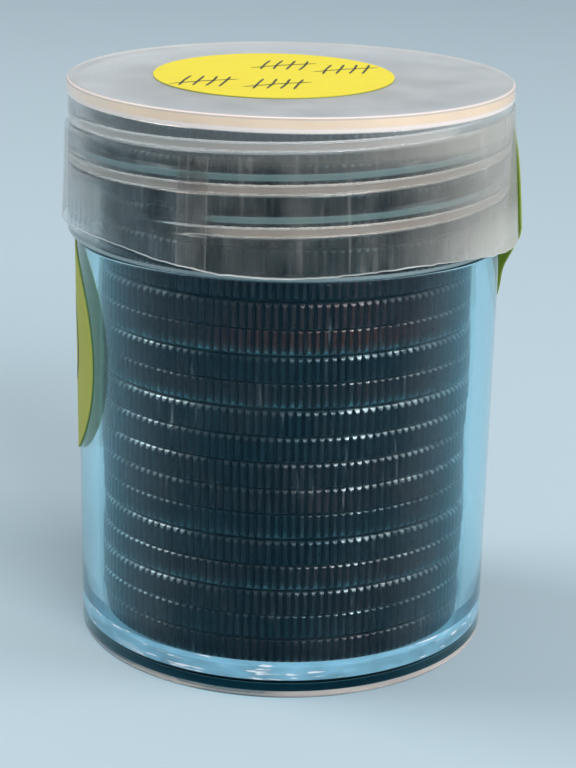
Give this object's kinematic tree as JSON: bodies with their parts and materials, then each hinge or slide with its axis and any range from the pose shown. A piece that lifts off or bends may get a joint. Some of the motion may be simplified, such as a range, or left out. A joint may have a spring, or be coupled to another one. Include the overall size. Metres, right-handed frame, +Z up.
{
  "type": "coin tube",
  "caption": "Clear round tube with a taped screw lid and round yellow stickers, holding a full stack of reeded coins.",
  "frame": {"origin": "middle of the tube's foot, on the surface that it stands on", "axes": "+Z up along the tube's axis, -Y towards the viewer of the picture, +X to the viewer's right"},
  "size_m": [0.0379, 0.0376, 0.0471],
  "materials": {
    "clear_plastic": "clear moulded polystyrene, glossy, fine scratches",
    "frosted_plastic": "clear polystyrene scuffed to a soft frost, glossy rim",
    "clear_tape": "clear adhesive tape, wrinkled, satin",
    "yellow_paper": "bright yellow coated paper sticker with pen strokes",
    "toned_coin_metal": "worn reeded coin metal with dark and reddish toning"
  },
  "bodies": {
    "tube": {"tube_body": "clear_plastic", "side_label": "yellow_paper"},
    "coin_01": {"coin_01": "toned_coin_metal"},
    "coin_02": {"coin_02": "toned_coin_metal"},
    "coin_03": {"coin_03": "toned_coin_metal"},
    "coin_04": {"coin_04": "toned_coin_metal"},
    "coin_05": {"coin_05": "toned_coin_metal"},
    "coin_06": {"coin_06": "toned_coin_metal"},
    "coin_07": {"coin_07": "toned_coin_metal"},
    "coin_08": {"coin_08": "toned_coin_metal"},
    "coin_09": {"coin_09": "toned_coin_metal"},
    "coin_10": {"coin_10": "toned_coin_metal"},
    "coin_11": {"coin_11": "toned_coin_metal"},
    "coin_12": {"coin_12": "toned_coin_metal"},
    "coin_13": {"coin_13": "toned_coin_metal"},
    "coin_14": {"coin_14": "toned_coin_metal"},
    "coin_15": {"coin_15": "toned_coin_metal"},
    "coin_16": {"coin_16": "toned_coin_metal"},
    "coin_17": {"coin_17": "toned_coin_metal"},
    "coin_18": {"coin_18": "toned_coin_metal"},
    "coin_19": {"coin_19": "toned_coin_metal"},
    "coin_20": {"coin_20": "toned_coin_metal"},
    "lid": {"screw_lid": "frosted_plastic", "lid_tape": "clear_tape", "lid_label": "yellow_paper", "seal_label": "yellow_paper"}
  },
  "joints": [
    {"name": "coin_01_spin", "type": "hinge", "parent": "tube", "child": "coin_01", "pos_m": [0.00003, 0.00009, 0.0034], "axis": [0, 0, 1], "continuous": true},
    {"name": "coin_02_spin", "type": "hinge", "parent": "tube", "child": "coin_02", "pos_m": [-0.0001, 0.0001, 0.00554], "axis": [0, 0, 1], "continuous": true},
    {"name": "coin_03_spin", "type": "hinge", "parent": "tube", "child": "coin_03", "pos_m": [-0.00004, -0.00002, 0.00769], "axis": [0, 0, 1], "continuous": true},
    {"name": "coin_04_spin", "type": "hinge", "parent": "tube", "child": "coin_04", "pos_m": [0.00001, -0.00009, 0.00984], "axis": [0, 0, 1], "continuous": true},
    {"name": "coin_05_spin", "type": "hinge", "parent": "tube", "child": "coin_05", "pos_m": [0.00013, -0.00004, 0.012], "axis": [0, 0, 1], "continuous": true},
    {"name": "coin_06_spin", "type": "hinge", "parent": "tube", "child": "coin_06", "pos_m": [0.00003, 0.00004, 0.01414], "axis": [0, 0, 1], "continuous": true},
    {"name": "coin_07_spin", "type": "hinge", "parent": "tube", "child": "coin_07", "pos_m": [-0.00005, 0.00008, 0.0163], "axis": [0, 0, 1], "continuous": true},
    {"name": "coin_08_spin", "type": "hinge", "parent": "tube", "child": "coin_08", "pos_m": [-0.00014, -0.00002, 0.01844], "axis": [0, 0, 1], "continuous": true},
    {"name": "coin_09_spin", "type": "hinge", "parent": "tube", "child": "coin_09", "pos_m": [-0.00001, -0.00005, 0.02059], "axis": [0, 0, 1], "continuous": true},
    {"name": "coin_10_spin", "type": "hinge", "parent": "tube", "child": "coin_10", "pos_m": [0.00008, -0.00005, 0.02275], "axis": [0, 0, 1], "continuous": true},
    {"name": "coin_11_spin", "type": "hinge", "parent": "tube", "child": "coin_11", "pos_m": [0.00012, 0.00008, 0.0249], "axis": [0, 0, 1], "continuous": true},
    {"name": "coin_12_spin", "type": "hinge", "parent": "tube", "child": "coin_12", "pos_m": [-0.00001, 0.00005, 0.02704], "axis": [0, 0, 1], "continuous": true},
    {"name": "coin_13_spin", "type": "hinge", "parent": "tube", "child": "coin_13", "pos_m": [-0.00009, 0.00002, 0.02919], "axis": [0, 0, 1], "continuous": true},
    {"name": "coin_14_spin", "type": "hinge", "parent": "tube", "child": "coin_14", "pos_m": [-0.00007, -0.00012, 0.03134], "axis": [0, 0, 1], "continuous": true},
    {"name": "coin_15_spin", "type": "hinge", "parent": "tube", "child": "coin_15", "pos_m": [0.00003, -0.00004, 0.03349], "axis": [0, 0, 1], "continuous": true},
    {"name": "coin_16_spin", "type": "hinge", "parent": "tube", "child": "coin_16", "pos_m": [0.00009, 0.00003, 0.03565], "axis": [0, 0, 1], "continuous": true},
    {"name": "coin_17_spin", "type": "hinge", "parent": "tube", "child": "coin_17", "pos_m": [0.00001, 0.00014, 0.0378], "axis": [0, 0, 1], "continuous": true},
    {"name": "coin_18_spin", "type": "hinge", "parent": "tube", "child": "coin_18", "pos_m": [-0.00004, 0.00002, 0.03995], "axis": [0, 0, 1], "continuous": true},
    {"name": "coin_19_spin", "type": "hinge", "parent": "tube", "child": "coin_19", "pos_m": [-0.00007, -0.00006, 0.0421], "axis": [0, 0, 1], "continuous": true},
    {"name": "lid_turn", "type": "hinge", "parent": "tube", "child": "coin_20", "pos_m": [0, 0, 0.04424], "axis": [0, 0, 1], "range_deg": [0, 1440]},
    {"name": "lid_rise", "type": "slide", "parent": "coin_20", "child": "lid", "axis": [0, 0, 1], "range_m": [0, 0.0128]}
  ],
  "couplings": [
    {"joint": "lid_rise", "follows": "lid_turn", "m_per_rad": 0.00050929}
  ]
}
